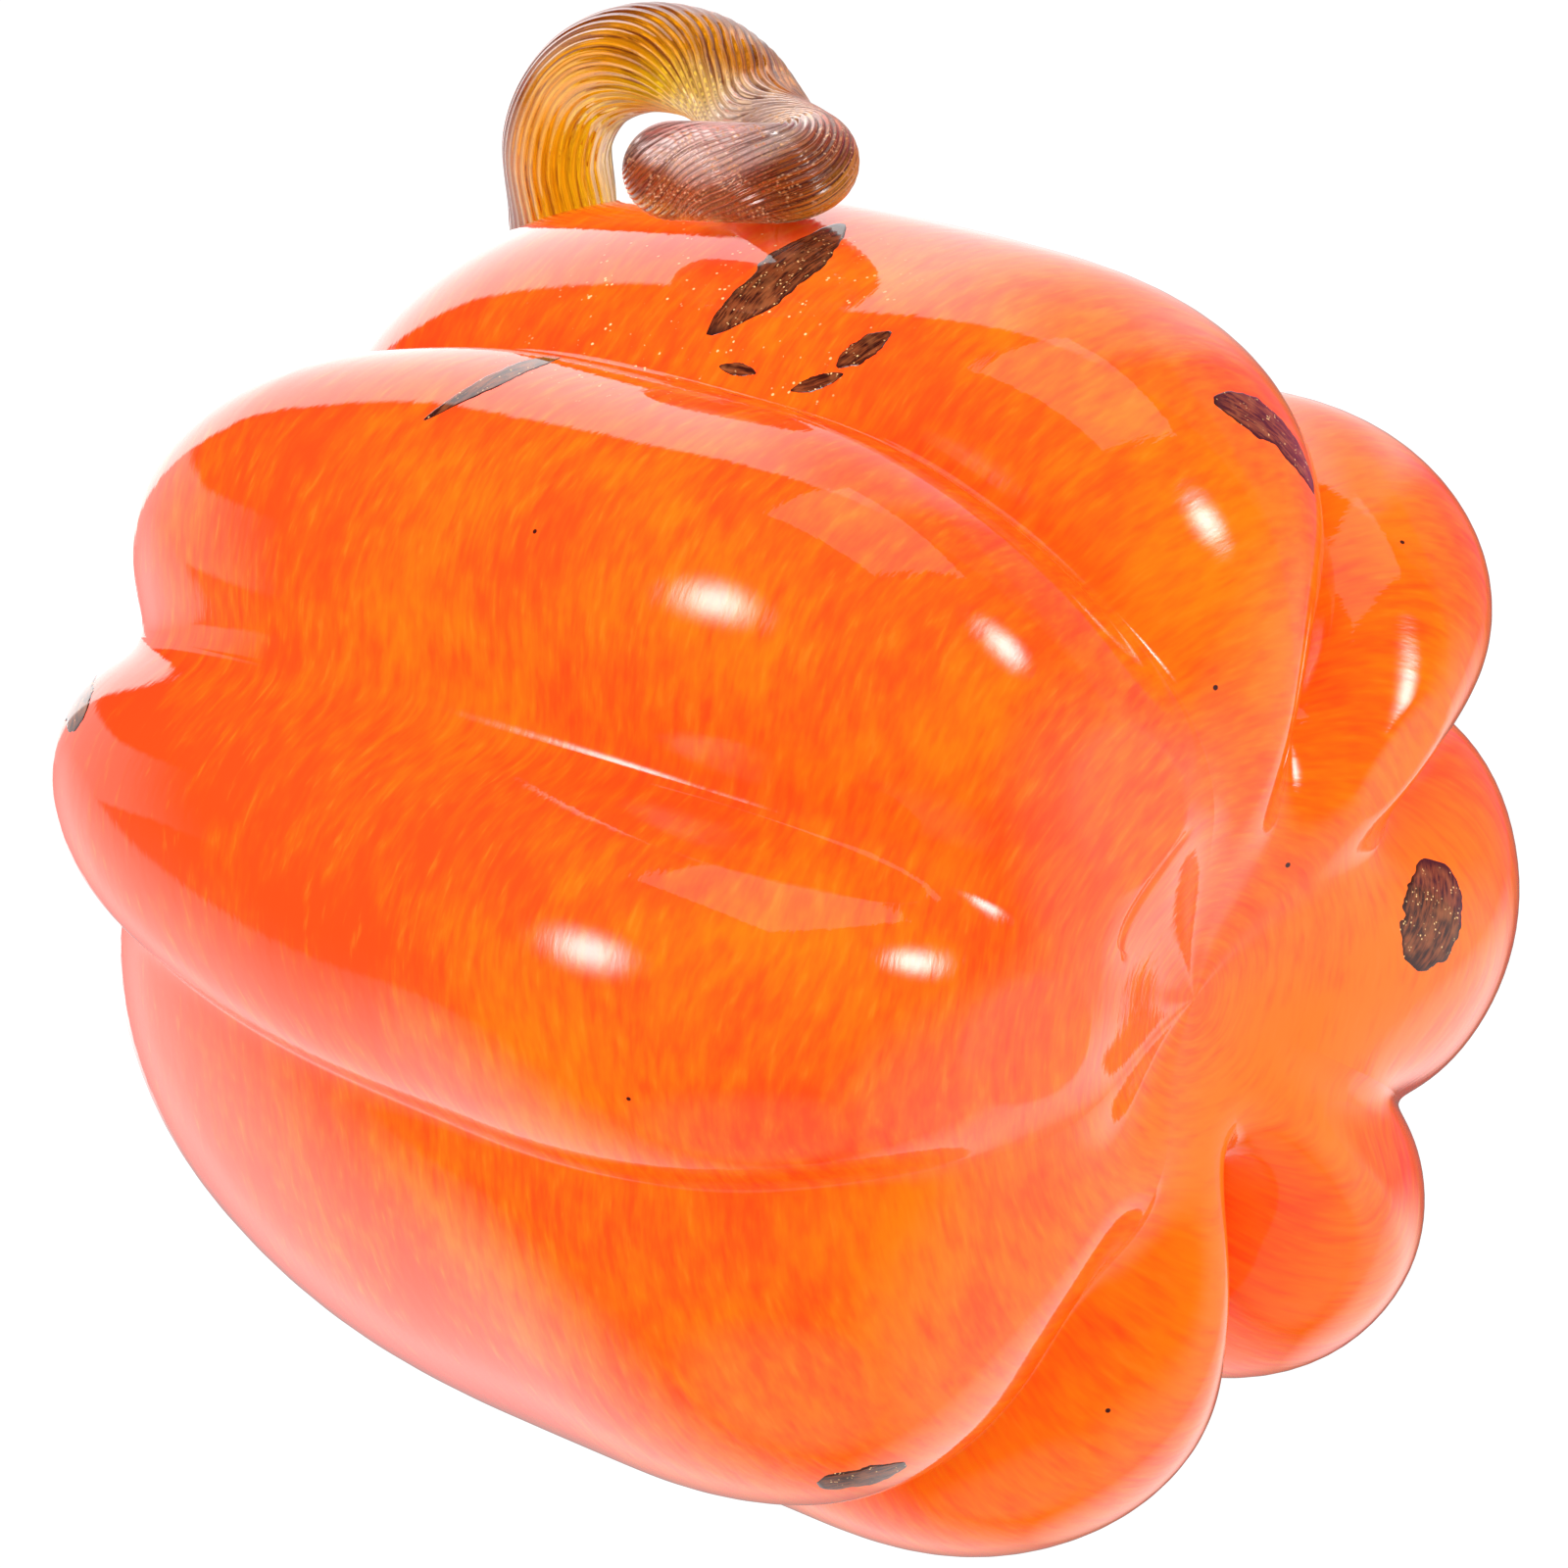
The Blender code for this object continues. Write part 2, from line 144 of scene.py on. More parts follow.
# How steeply the ribs wind round the rod, at shares of its length.
TWIST_SHARES = (0.0, 0.45, 0.50, 0.56, 0.62, 0.68, 0.74, 0.78, 0.82, 0.90, 1.0)
TWIST_SLOPES = (0.0, 0.0, -0.05, -0.20, -0.17, 0.20, 0.60, 0.0, -0.65, -0.85, -1.10)
CURL_STARTS = 0.45            # the eye of the curl is the middle of everything past this share

# ---------------------------------------------------------------- the goldstone chips and small marks
# The lobe, the bow and polar angle of the chip's middle, then its length, width, heading in
# degrees from the base-to-crown line, sideways bend, and how full its ends are.
CHIPS = {
    "leaf": (0, -0.63, 1.79, 0.0235, 0.0070, -94, -0.0030, 0.9),
    "kite": (0, -0.88, 1.50, 0.0062, 0.0032, -66, 0.0, 0.9),
    "tail": (0, -1.13, 1.54, 0.0056, 0.0018, -35, 0.0, 0.9),
    "sliver": (0, -1.18, 1.69, 0.0045, 0.0014, 177, 0.0, 0.9),
    "blade": (7, 0.54, 1.92, 0.0175, 0.0034, -88, -0.0026, 0.9),
    "shard": (6, 0.48, 2.43, 0.0120, 0.0052, -160, 0.0, 0.6),
    "crescent": (0, 0.26, 1.01, 0.0160, 0.0060, 121, -0.0012, 0.7),
    "oval": (2, -0.31, 0.57, 0.0130, 0.0085, 133, 0.0006, 0.45),
    "flake": (4, -0.35, 2.05, 0.0140, 0.0046, 65, 0.0015, 0.8),
    "splinter": (3, 0.20, 1.45, 0.0110, 0.0030, -40, 0.0, 0.9),
    "spot": (5, -0.50, 1.10, 0.0090, 0.0050, 20, 0.0, 0.5),
}

CHIP_STATIONS = 60            # steps along a chip
CHIP_SIDES = 16               # steps across it
CHIP_LIFT = 0.00004           # how far a chip's face lies above the skin
RIM_DIP = 0.00008             # how far its rim comes down from there
RIM_STARTS = 0.90             # share of the way out at which it starts to
# Two sets of waves along a chip's edge: how tight they are, how high, and their layer of noise.
RAGGEDNESS = ((3.2, 0.24, 0.0), (11.0, 0.09, 3.0))
EDGE_APART = 5.0              # keeps the noise of a chip's two edges apart
PROBE = 1e-4                  # step in bow and polar angle for measuring slopes of the bubble

DUST_MIDDLE = (0, -0.95, 1.80)   # the gold dust's lobe, bow and polar angle
DUST_REACH = 0.024
SPECKS = (                    # tiny dark seeds: lobe, bow and polar angle, then radius
    ((7, -0.25, 1.62), 0.00030),
    ((6, -0.42, 1.20), 0.00028),
    ((1, -0.40, 0.30), 0.00035),
    ((0, -0.71, 0.65), 0.00034),
    ((1, -0.67, 0.95), 0.00030),
    ((4, 0.61, 0.81), 0.00032),
)

# ---------------------------------------------------------------- the photographer's lens
RIGHT = np.array([0.316, 0.631, -0.708])
UP = np.array([0.949, -0.210, 0.236])
FORWARD = np.array([0.0, 0.747, 0.665])
CAMERA_OFFSET = (0.184, 0.180, 13.268)  # from the lens to the bubble: right, down, forward, in body radii
FOCAL_LENGTH = 202.6          # millimetres
SENSOR = 36.0                 # millimetres
CLIP = (0.01, 50.0)


def smoothstep(low, high, value):
    """0 up to low, 1 from high, and a smooth ramp between."""
    ratio = np.clip((value - low) / (high - low), 0.0, 1.0)
    return ratio * ratio * (3.0 - 2.0 * ratio)


def unit(vector):
    """The vector, or each row of an array, at length 1."""
    return vector / np.linalg.norm(vector, axis=-1, keepdims=True)


# ---------------------------------------------------------------- shape of the bubble
def groove_azimuth(groove, polar):
    """Where a groove lies round the axis, in radians; the count may run on past the eighth."""
    turns = groove // 8
    index = groove % 8
    return np.radians(GROOVE_AZIMUTHS[index] + 360.0 * turns) + GROOVE_SKEWS[index] * (polar - np.pi / 2)


def crest(polar):
    """Radius and height of the lobes' crests, in body radii."""
    sine = np.sin(polar)
    cosine = np.cos(polar)
    below = cosine > 0
    height = np.where(below, HEIGHT_BELOW, HEIGHT_ABOVE)
    power = np.where(below, FULLNESS_BELOW, FULLNESS_ABOVE)
    reach = (np.abs(sine) ** power + (np.abs(cosine) / height) ** power) ** (-1.0 / power)
    return reach * sine, -reach * cosine


def filleted_bulge(lobe, share, bow, polar):
    """How far a lobe stands out, 0 in its grooves and 1 on its crest, with the grooves' bottoms rounded."""
    fillet = GROOVE_FILLETS[lobe] * (1.0 - share) + GROOVE_FILLETS[(lobe + 1) % 8] * share
    fillet = fillet + FILLET_AT_BASE * np.exp(-((polar / FILLET_SPAN) ** 2))
    near = np.sqrt((1.0 - np.abs(np.sin(bow))) ** 2 + fillet**2)
    lowest = np.sqrt(1.0 - (1.0 - fillet) ** 2)
    bulge = np.sqrt(np.clip(1.0 - (1.0 - np.minimum(near, 1.0)) ** 2, 0.0, 1.0))
    bulge = (bulge - lowest) / (1.0 - lowest)
    soft = 1.0 - smoothstep(*SOFT_BASE, polar)
    return bulge + (np.sin(np.pi * share) ** 2 - bulge) * soft


def crease(lobe, bow, polar):
    """Depth of the tool mark: a thin arc that crosses lobes 6 and 7 and fades out at both ends."""
    if lobe not in (6, 7):
        return 0.0
    place = bow + np.pi * (lobe - 7)
    start, end = CREASE_SPAN
    share = np.clip((place - start) / (end - start), 0.0, 1.0)
    middle = CREASE_POLARS[0] + (CREASE_POLARS[1] - CREASE_POLARS[0]) * np.sin(share * np.pi / 2)
    across = (polar - middle) / CREASE_WIDTH
    return CREASE_DEPTH * np.sin(np.pi * share) ** 0.5 * np.exp(-(across**2))


def groove_depth(groove, polar):
    """A groove's depth beside the others: it rises out of the base and may fade towards the crown."""
    index = groove % 8
    rising = smoothstep(MELT_STARTS * MELT_ENDS[index], MELT_ENDS[index], polar)
    fading = 1.0 + (CROWN_DEPTHS[index] - 1.0) * smoothstep(*CROWN_SPAN, polar)
    return GROOVE_DEPTHS[index] * rising * fading


def bubble(lobe, bow, polar, filleted=True):
    """A point of the bubble's outside from its centre, by the CAD part's own formula."""
    bow = np.asarray(bow, dtype=float)
    polar = np.asarray(polar, dtype=float)
    start = groove_azimuth(lobe, polar)
    share = (1.0 + np.sin(bow)) / 2.0
    azimuth = start + (groove_azimuth(lobe + 1, polar) - start) * share
    bulge = filleted_bulge(lobe, share, bow, polar) if filleted else np.cos(bow)
    deeper = DEEPER_AT_BASE * np.exp(-((polar / END_SPAN) ** 2))
    deeper = deeper + DEEPER_AT_CROWN * np.exp(-(((np.pi - polar) / END_SPAN) ** 2))
    depth = groove_depth(lobe, polar) * (1.0 - share) + groove_depth(lobe + 1, polar) * share
    depth = depth * (GROOVE_DEPTH + deeper) * smoothstep(0.0, SMOOTH_POLE, np.pi - polar)
    swell = 1.0 + LOBE_SWELLS[lobe] * bulge * np.minimum(1.0, SWELL_RISE * np.sin(polar))
    radius, height = crest(polar)
    scale = swell * (1.0 - depth * (1.0 - bulge))
    if filleted:
        scale = scale - crease(lobe, bow, polar)
    radius = radius * scale
    height = height * scale
    base = BASE_DIMPLE[0] * np.exp(-((radius / BASE_DIMPLE[1]) ** 2)) * (polar < np.pi / 2)
    crown = CROWN_DIMPLE[0] * np.exp(-((radius / CROWN_DIMPLE[1]) ** 2)) * (polar > np.pi / 2)
    height = height + base - crown
    return BODY_RADIUS * np.stack([radius * np.cos(azimuth), radius * np.sin(azimuth), height], axis=-1)


def bubble_centre():
    """Where the bubble's centre lies in the frame: the CAD grid's extremes are laid on the CAD box."""
    low, high = (np.array(corner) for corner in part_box("body_shell"))
    grid = cad_points()
    centre = (low + high) / 2 - (grid.min(axis=0) + grid.max(axis=0)) / 2
    centre[2] = high[2] - grid[:, 2].max()
    return centre


def polar_at_radius(radius, filleted):
    """The polar angle near the crown where the outside is this far from the axis, by halving."""
    low = SHOULDER
    high = np.pi
    for _ in range(HALVINGS):
        middle = (low + high) / 2
        point = bubble(0, 0.0, middle, filleted)
        if np.hypot(point[0], point[1]) > radius:
            low = middle
        else:
            high = middle
    return low


def cad_points():
    """The vertices of the CAD bubble's outside."""
    bow = np.pi * (np.arange(CAD_STEPS_ACROSS) / CAD_STEPS_ACROSS - 0.5)
    polars = np.linspace(polar_at_radius(OPENING_RADIUS, False), 0.0, CAD_ROWS + 1)[:-1]
    return np.concatenate([bubble(lobe, bow, np.full(CAD_STEPS_ACROSS, polar), False)
                           for polar in polars for lobe in range(8)])


CENTRE = bubble_centre()


def wobble(points):
    """Moves points in and out by the slow unevenness of hand-worked glass."""
    lengths = [WOBBLE * noise.noise(Vector(point) / WOBBLE_SIZE) for point in points.reshape(-1, 3)]
    return points + unit(points) * np.array(lengths).reshape(points.shape[:-1] + (1,))


def skin(lobe, bow, polar):
    """A point of the finished outside in the frame, above the surface that the pumpkin stands on."""
    point = wobble(bubble(lobe, bow, polar)) + CENTRE
    point[..., 2] = np.maximum(point[..., 2], 0.0)
    return point


# ---------------------------------------------------------------- mesh helpers
def new_piece(name, vertices, faces, material):
    """A named, smooth-shaded mesh object with one material."""
    mesh = bpy.data.meshes.new(name)
    mesh.from_pydata([tuple(vertex) for vertex in vertices], [], faces)
    mesh.update()
    mesh.materials.append(material)
    mesh.shade_smooth()
    piece = bpy.data.objects.new(name, mesh)
    bpy.context.scene.collection.objects.link(piece)
    return piece


def store(piece, name, values):
    """Keeps one number for each vertex where the material can read it."""
    attribute = piece.data.attributes.new(name, "FLOAT", "POINT")
    attribute.data.foreach_set("value", np.asarray(values, dtype=np.float32))


# ---------------------------------------------------------------- node helpers
MIX_COLOR_INPUTS = (6, 7)     # a Mix node keeps sockets for every kind of value; these are the colors'
MIX_COLOR_OUTPUT = 2


class Nodes:
    """Short ways to add and join shader nodes."""

    def __init__(self, tree):
        self.tree = tree

    def add(self, kind, values=None, **settings):
        node = self.tree.nodes.new(kind)
        for name, value in settings.items():
            setattr(node, name, value)
        for name, value in (values or {}).items():
            self.join(value, node.inputs[name])
        return node

    def join(self, value, socket):
        if isinstance(value, bpy.types.NodeSocket):
            self.tree.links.new(value, socket)
        else:
            socket.default_value = value

    def math(self, operation, first, second=0.0):
        return self.add("ShaderNodeMath", {0: first, 1: second}, operation=operation).outputs[0]

    def weighted_sum(self, parts):
        """Adds up values, each times its own weight."""
        total = None
        for value, weight in parts:
            term = self.math("MULTIPLY", value, weight)
            total = term if total is None else self.math("ADD", total, term)
        return total

    def vector(self, operation, first, second=(0.0, 0.0, 0.0)):
        node = self.add("ShaderNodeVectorMath", {0: first, 1: second}, operation=operation)
        return node.outputs["Value" if operation in ("DOT_PRODUCT", "LENGTH") else "Vector"]

    def combine(self, x, y, z):
        return self.add("ShaderNodeCombineXYZ", {"X": x, "Y": y, "Z": z}).outputs[0]

    def note(self, name):
        """A number that the mesh keeps at each vertex."""
        return self.add("ShaderNodeAttribute", attribute_name=name).outputs["Fac"]

    def noise(self, vector, scale=1.0, detail=2.0, roughness=0.5):
        return self.add("ShaderNodeTexNoise", {"Vector": vector, "Scale": scale, "Detail": detail,
                                               "Roughness": roughness}).outputs["Fac"]

    def grains(self, vector, scale):
        """The distance to the nearest of many scattered points, in cells."""
        return self.add("ShaderNodeTexVoronoi", {"Vector": vector, "Scale": scale}).outputs["Distance"]

    def fit(self, value, low, high, out_low=0.0, out_high=1.0, smooth=True):
        """Maps low..high onto out_low..out_high and holds the value beyond both."""
        kind = "SMOOTHSTEP" if smooth else "LINEAR"
        return self.add("ShaderNodeMapRange", {"Value": value, "From Min": low, "From Max": high,
                                               "To Min": out_low, "To Max": out_high},
                        interpolation_type=kind).outputs["Result"]

    def mix(self, factor, first, second):
        """Goes from the first color to the second as the factor goes from 0 to 1."""
        node = self.add("ShaderNodeMix", {"Factor": factor}, data_type="RGBA", blend_type="MIX")
        self.join(first, node.inputs[MIX_COLOR_INPUTS[0]])
        self.join(second, node.inputs[MIX_COLOR_INPUTS[1]])
        return node.outputs[MIX_COLOR_OUTPUT]


def new_material(name):
    """A material with one Principled shader, and the helper that adds its nodes."""
    material = bpy.data.materials.new(name)
    material.use_nodes = True
    return material, Nodes(material.node_tree), material.node_tree.nodes["Principled BSDF"]


# ---------------------------------------------------------------- materials
GLASS_IOR = 1.5

# Cased glass. A stroke has a length, a width, then detail and roughness of its noise.
BROAD_STROKES = (0.0052, 0.0016, 3.0, 0.60)
FINE_STROKES = (0.0030, 0.00062, 2.0, 0.5)
WANDER = 0.008                # how far the strokes wander off the bubble's circles
REDDEST = (1.0, 0.062, 0.008, 1.0)
YELLOWEST = (1.0, 0.172, 0.005, 1.0)
BRIGHT_STROKE = (1.0, 0.19, 0.020, 1.0)
GOLD_DUST = (1.0, 0.60, 0.26, 1.0)
DARK_SEED = (0.045, 0.008, 0.006, 1.0)
REDDER_AT_CROWN = (-0.050, 0.045, -0.080, 0.075)  # heights below the centre, and what is added there
DUST_GRAINS = 1300.0          # to the metre
DUST_PATCHES = 700.0
RIPPLE = 0.00006

# Stem glass, from the outside of the bend to its inside: first the clear rod, then the smoke-brown curl. The
# rod's dark brown outer edge is painted shade and its pale inner side is painted light; the curl's pinkish
# white inner side is a painted reflection.
AMBER_WITH_PAINTED_LIGHT = ((0.24, 0.040, 0.014, 1.0), (1.0, 0.40, 0.004, 1.0), (1.0, 0.66, 0.010, 1.0), (1.0, 0.95, 0.62, 1.0))
# The curl's colours: orange at its outer edge, brown across the middle, and a pinkish white painted
# reflection on its inner side.
SMOKE_WITH_PAINTED_LIGHT = ((1.0, 0.46, 0.06, 1.0), (0.48, 0.115, 0.030, 1.0), (1.0, 0.80, 0.76, 1.0))
VEINS = ((0.30, 0.060, 0.002, 1.0), (0.150, 0.036, 0.022, 1.0))
COPPER_DUST = (1.0, 0.60, 0.34, 1.0)
COPPER_GRAINS = 2300.0
COPPER_PATCHES = 420.0

# Goldstone: its ground, its fibres, its cloudy patches, its rim and its flecks.
STONE_GROUND = (0.040, 0.007, 0.004, 1.0)
STONE_FIBRE = (0.230, 0.052, 0.016, 1.0)
STONE_CLOUD = (0.34, 0.105, 0.035, 1.0)
STONE_RIM = (0.035, 0.008, 0.006, 1.0)
STONE_FLECK = (1.0, 0.62, 0.26, 1.0)
STONE_GRAINS = 2600.0
STONE_PATCHES = 900.0

FLOOR_PAINT = (0.93, 0.93, 0.93, 1.0)


def gold_dust(nodes, place):
    """Flecks of gold that strayed into the body round the leaf-shaped chip and the stem's foot."""
    near = nodes.vector("LENGTH", nodes.vector("SUBTRACT", place, tuple(bubble(*DUST_MIDDLE))))
    sparse = nodes.fit(nodes.noise(place, DUST_PATCHES, 1.0), 0.55, 0.60)
    flecks = nodes.math("MULTIPLY", nodes.fit(nodes.grains(place, DUST_GRAINS), 0.24, 0.14), sparse)
    return nodes.math("MULTIPLY", flecks, nodes.fit(near, DUST_REACH, DUST_REACH * 0.5))


def cased_glass():
    """Orange glass under a clear skin: strokes of yellow and red frit run round the bubble."""
    material, nodes, shader = new_material("cased_glass")
    place = nodes.vector("SUBTRACT", nodes.add("ShaderNodeTexCoord").outputs["Object"], tuple(CENTRE))
    axes = nodes.add("ShaderNodeSeparateXYZ", {"Vector": place})
    x = axes.outputs["X"]
    y = axes.outputs["Y"]
    squares = nodes.math("ADD", nodes.math("MULTIPLY", x, x), nodes.math("MULTIPLY", y, y))
    across = nodes.math("SQRT", squares)
    down = nodes.math("MULTIPLY", axes.outputs["Z"], -1.0)
    meridian = nodes.math("MULTIPLY", nodes.math("ARCTAN2", across, down), BODY_RADIUS)
    wander = nodes.math("MULTIPLY", nodes.math("SUBTRACT", nodes.noise(place, 30.0, 1.0), 0.5), WANDER)
    stroke_height = nodes.math("ADD", meridian, wander)

    def strokes(length, width, detail, roughness):
        spot = nodes.combine(nodes.math("DIVIDE", x, length), nodes.math("DIVIDE", y, length),
                             nodes.math("DIVIDE", stroke_height, width))
        return nodes.noise(spot, 1.0, detail, roughness)

    broad = strokes(*BROAD_STROKES)
    fine = strokes(*FINE_STROKES)
    clouds = nodes.noise(place, 60.0, 4.0, 0.60)
    tide = nodes.noise(place, 19.0, 1.0, 0.5)
    mixed = nodes.weighted_sum(((broad, 0.30), (fine, 0.18), (clouds, 0.38), (tide, 0.26)))
    mixed = nodes.math("ADD", mixed, nodes.fit(down, *REDDER_AT_CROWN, smooth=False))
    color = nodes.mix(nodes.fit(mixed, 0.45, 0.75), REDDEST, YELLOWEST)
    bright = nodes.fit(nodes.math("ADD", fine, nodes.math("MULTIPLY", broad, 0.5)), 0.86, 1.04)
    color = nodes.mix(nodes.math("MULTIPLY", bright, 0.26), color, BRIGHT_STROKE)
    color = nodes.mix(gold_dust(nodes, place), color, GOLD_DUST)
    for spot, size in SPECKS:
        away = nodes.vector("LENGTH", nodes.vector("SUBTRACT", place, tuple(bubble(*spot))))
        color = nodes.mix(nodes.fit(away, size, size * 0.6), color, DARK_SEED)
    nodes.join(color, shader.inputs["Base Color"])
    shader.inputs["Roughness"].default_value = 0.035
    shader.inputs["IOR"].default_value = GLASS_IOR
    ripple = nodes.add("ShaderNodeBump", {"Height": broad, "Strength": 0.5, "Distance": RIPPLE})
    nodes.join(ripple.outputs["Normal"], shader.inputs["Normal"])
    return material


def stem_veins(nodes, turn, along, around, lengthwise, detail):
    """Noise that is drawn out along the rod and follows its twist."""
    spot = nodes.combine(nodes.math("MULTIPLY", nodes.math("COSINE", turn), around),
                         nodes.math("MULTIPLY", nodes.math("SINE", turn), around),
                         nodes.math("MULTIPLY", along, lengthwise))
    return nodes.noise(spot, 1.0, detail, 0.6)


def stem_glass():
    """Clear amber rod: brown veins follow the twist and copper dust gathers towards the tip. The shading
    across the bend is painted: painted shade on the outer edge, painted highlight and reflection on the
    inner side.
    """
    material, nodes, shader = new_material("stem_glass")
    turn = nodes.note("turn")
    along = nodes.note("along")
    painted_light_facing = nodes.note("painted_light_facing")
    # The rod's colour follows painted light: dark painted shade at its outer edge, its own amber across the
    # middle, and a pale painted highlight on the inner side of the bend.
    amber = nodes.mix(nodes.fit(painted_light_facing, -0.97, -0.62), AMBER_WITH_PAINTED_LIGHT[0], AMBER_WITH_PAINTED_LIGHT[1])
    amber = nodes.mix(nodes.fit(painted_light_facing, -0.2, 0.7), amber, AMBER_WITH_PAINTED_LIGHT[2])
    amber = nodes.mix(nodes.fit(painted_light_facing, 0.72, 1.00), amber, AMBER_WITH_PAINTED_LIGHT[3])
    # The curl goes from orange at its outer edge to brown, then to pinkish white on the side facing the
    # bend, which is a painted reflection.
    curl_with_painted_light = nodes.mix(nodes.fit(painted_light_facing, -0.95, -0.5), SMOKE_WITH_PAINTED_LIGHT[0], SMOKE_WITH_PAINTED_LIGHT[1])
    curl_with_painted_light = nodes.mix(nodes.fit(painted_light_facing, -0.10, 0.36), curl_with_painted_light, SMOKE_WITH_PAINTED_LIGHT[2])
    color = nodes.mix(nodes.fit(along, 0.70, 0.82), amber, curl_with_painted_light)
    thin = nodes.fit(stem_veins(nodes, turn, along, 11.0, 18.0, 3.0), 0.52, 0.60)
    rib_floor = nodes.fit(nodes.math("COSINE", nodes.math("MULTIPLY", turn, float(RIBS))), -0.2, -1.0)
    dark = nodes.weighted_sum(((thin, 0.75), (rib_floor, 0.60)))
    dark = nodes.math("MULTIPLY", dark, nodes.fit(along, 0.60, 0.80, 0.72, 1.0))
    # On the rising rod the veins fade under the painted highlight on the inner side of the bend.
    pale = nodes.math("MULTIPLY", nodes.fit(painted_light_facing, 0.35, 0.85, 0.0, 0.55), nodes.fit(along, 0.82, 0.74))
    dark = nodes.math("MULTIPLY", dark, nodes.math("SUBTRACT", 1.0, pale))
    vein_color = nodes.mix(nodes.fit(along, 0.58, 0.80), VEINS[0], VEINS[1])
    color = nodes.mix(nodes.math("MINIMUM", dark, 1.0), color, vein_color)
    place = nodes.add("ShaderNodeTexCoord").outputs["Object"]
    patches = nodes.fit(nodes.noise(place, COPPER_PATCHES, 1.0), 0.44, 0.60)
    flecks = nodes.math("MULTIPLY", nodes.fit(nodes.grains(place, COPPER_GRAINS), 0.40, 0.24), patches)
    flecks = nodes.math("MULTIPLY", flecks, nodes.fit(along, 0.76, 0.84))
    color = nodes.mix(flecks, color, COPPER_DUST)
    nodes.join(color, shader.inputs["Base Color"])
    shader.inputs["Roughness"].default_value = 0.03
    shader.inputs["IOR"].default_value = GLASS_IOR
    shader.inputs["Transmission Weight"].default_value = 0.74
    return material


def goldstone():
    """Brown aventurine: copper flecks glitter in streaks along the chip, inside a dark rim."""
    material, nodes, shader = new_material("goldstone")
    along = nodes.math("MULTIPLY", nodes.note("along"), 420.0)
    aside = nodes.math("MULTIPLY", nodes.note("aside"), 2600.0)
    place = nodes.add("ShaderNodeTexCoord").outputs["Object"]
    fibres = nodes.fit(nodes.noise(nodes.combine(along, aside, 0.0), 1.0, 2.0, 0.6), 0.36, 0.66)
    clouds = nodes.fit(nodes.noise(place, 480.0, 2.0, 0.5), 0.45, 0.70)
    body = nodes.mix(fibres, STONE_GROUND, STONE_FIBRE)
    body = nodes.mix(nodes.math("MULTIPLY", clouds, 0.55), body, STONE_CLOUD)
    body = nodes.mix(nodes.fit(nodes.note("rim"), 0.72, 0.96), body, STONE_RIM)
    patches = nodes.fit(nodes.noise(place, STONE_PATCHES, 1.0), 0.54, 0.64)
    flecks = nodes.math("MULTIPLY", nodes.fit(nodes.grains(place, STONE_GRAINS), 0.32, 0.16), patches)
    color = nodes.mix(flecks, body, STONE_FLECK)
    nodes.join(color, shader.inputs["Base Color"])
    shader.inputs["Roughness"].default_value = 0.045
    shader.inputs["IOR"].default_value = GLASS_IOR
    return material


def floor_material():
    """A pale matt floor that shows only from above, so that it never hides the underside."""
    material, nodes, shader = new_material("floor_paint")
    shader.inputs["Base Color"].default_value = FLOOR_PAINT
    shader.inputs["Roughness"].default_value = 0.7
    clear = nodes.add("ShaderNodeBsdfTransparent")
    from_below = nodes.add("ShaderNodeNewGeometry").outputs["Backfacing"]
    both = nodes.add("ShaderNodeMixShader", {0: from_below, 1: shader.outputs[0], 2: clear.outputs[0]})
    nodes.join(both.outputs[0], material.node_tree.nodes["Material Output"].inputs["Surface"])
    return material


# ---------------------------------------------------------------- the glass body
def add_skin(vertices, faces, rows, pole):
    """Adds quads between rows and a fan at the base pole, and returns the first row's indices."""
    count = len(rows[0])
    start = len(vertices)
    for row in rows:
        vertices.extend(row)
    vertices.append(pole)
    for row in range(len(rows) - 1):
        for step in range(count):
            here = start + row * count + step
            beside = start + row * count + (step + 1) % count
            faces.append((here, beside, beside + count, here + count))
    last = start + (len(rows) - 1) * count
    for step in range(count):
        faces.append((last + step, last + (step + 1) % count, len(vertices) - 1))
    return [start + step for step in range(count)]


def skin_rows(steps, rows, inset):
    """Rows round the bubble from the opening to the base, the inner skin a wall's thickness in."""
    bow = np.pi * (np.arange(steps) / steps - 0.5)
    shrink = 1.0 - inset / BODY_RADIUS
    polars = np.linspace(polar_at_radius(OPENING_RADIUS / shrink, True), 0.0, rows + 1)[:-1]
    if not inset:
        polars = np.sort(np.concatenate([polars, np.linspace(*CREASE_ROWS)]))[::-1]
    result = []
    for polar in polars:
        ring = [skin(lobe, bow, np.full(steps, polar)) for lobe in range(8)]
        result.append((np.concatenate(ring) - CENTRE) * shrink + CENTRE)
    pole = (skin(0, 0.0, 0.0) - CENTRE) * shrink + CENTRE
    return result, pole


def make_body(material):
    """The blown bubble: an outer and an inner skin joined round the crown's opening."""
    vertices = []
    faces = []
    rows, pole = skin_rows(STEPS_ACROSS, ROWS_OUTSIDE, 0.0)
    outer = add_skin(vertices, faces, rows, pole)
    rows, pole = skin_rows(STEPS_ACROSS, ROWS_INSIDE, WALL)
    inner = add_skin(vertices, faces, rows, pole)
    faces[:] = [face if min(face) >= inner[0] else tuple(reversed(face)) for face in faces]
    for step, here in enumerate(outer):
        beside = outer[(step + 1) % len(outer)]
        faces.append((here, beside, inner[(step + 1) % len(inner)], inner[step]))
    body = new_piece("blown_body", vertices, faces, material)
    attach(body, "root")
    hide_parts("body_shell")


# ---------------------------------------------------------------- the goldstone chips
def outward_normal(lobe, bow, polar, point):
    across = skin(lobe, bow + PROBE, polar) - skin(lobe, bow - PROBE, polar)
    upwards = skin(lobe, bow, polar + PROBE) - skin(lobe, bow, polar - PROBE)
    normal = unit(np.cross(across, upwards))
    return -normal if np.dot(normal, point - CENTRE) < 0 else normal


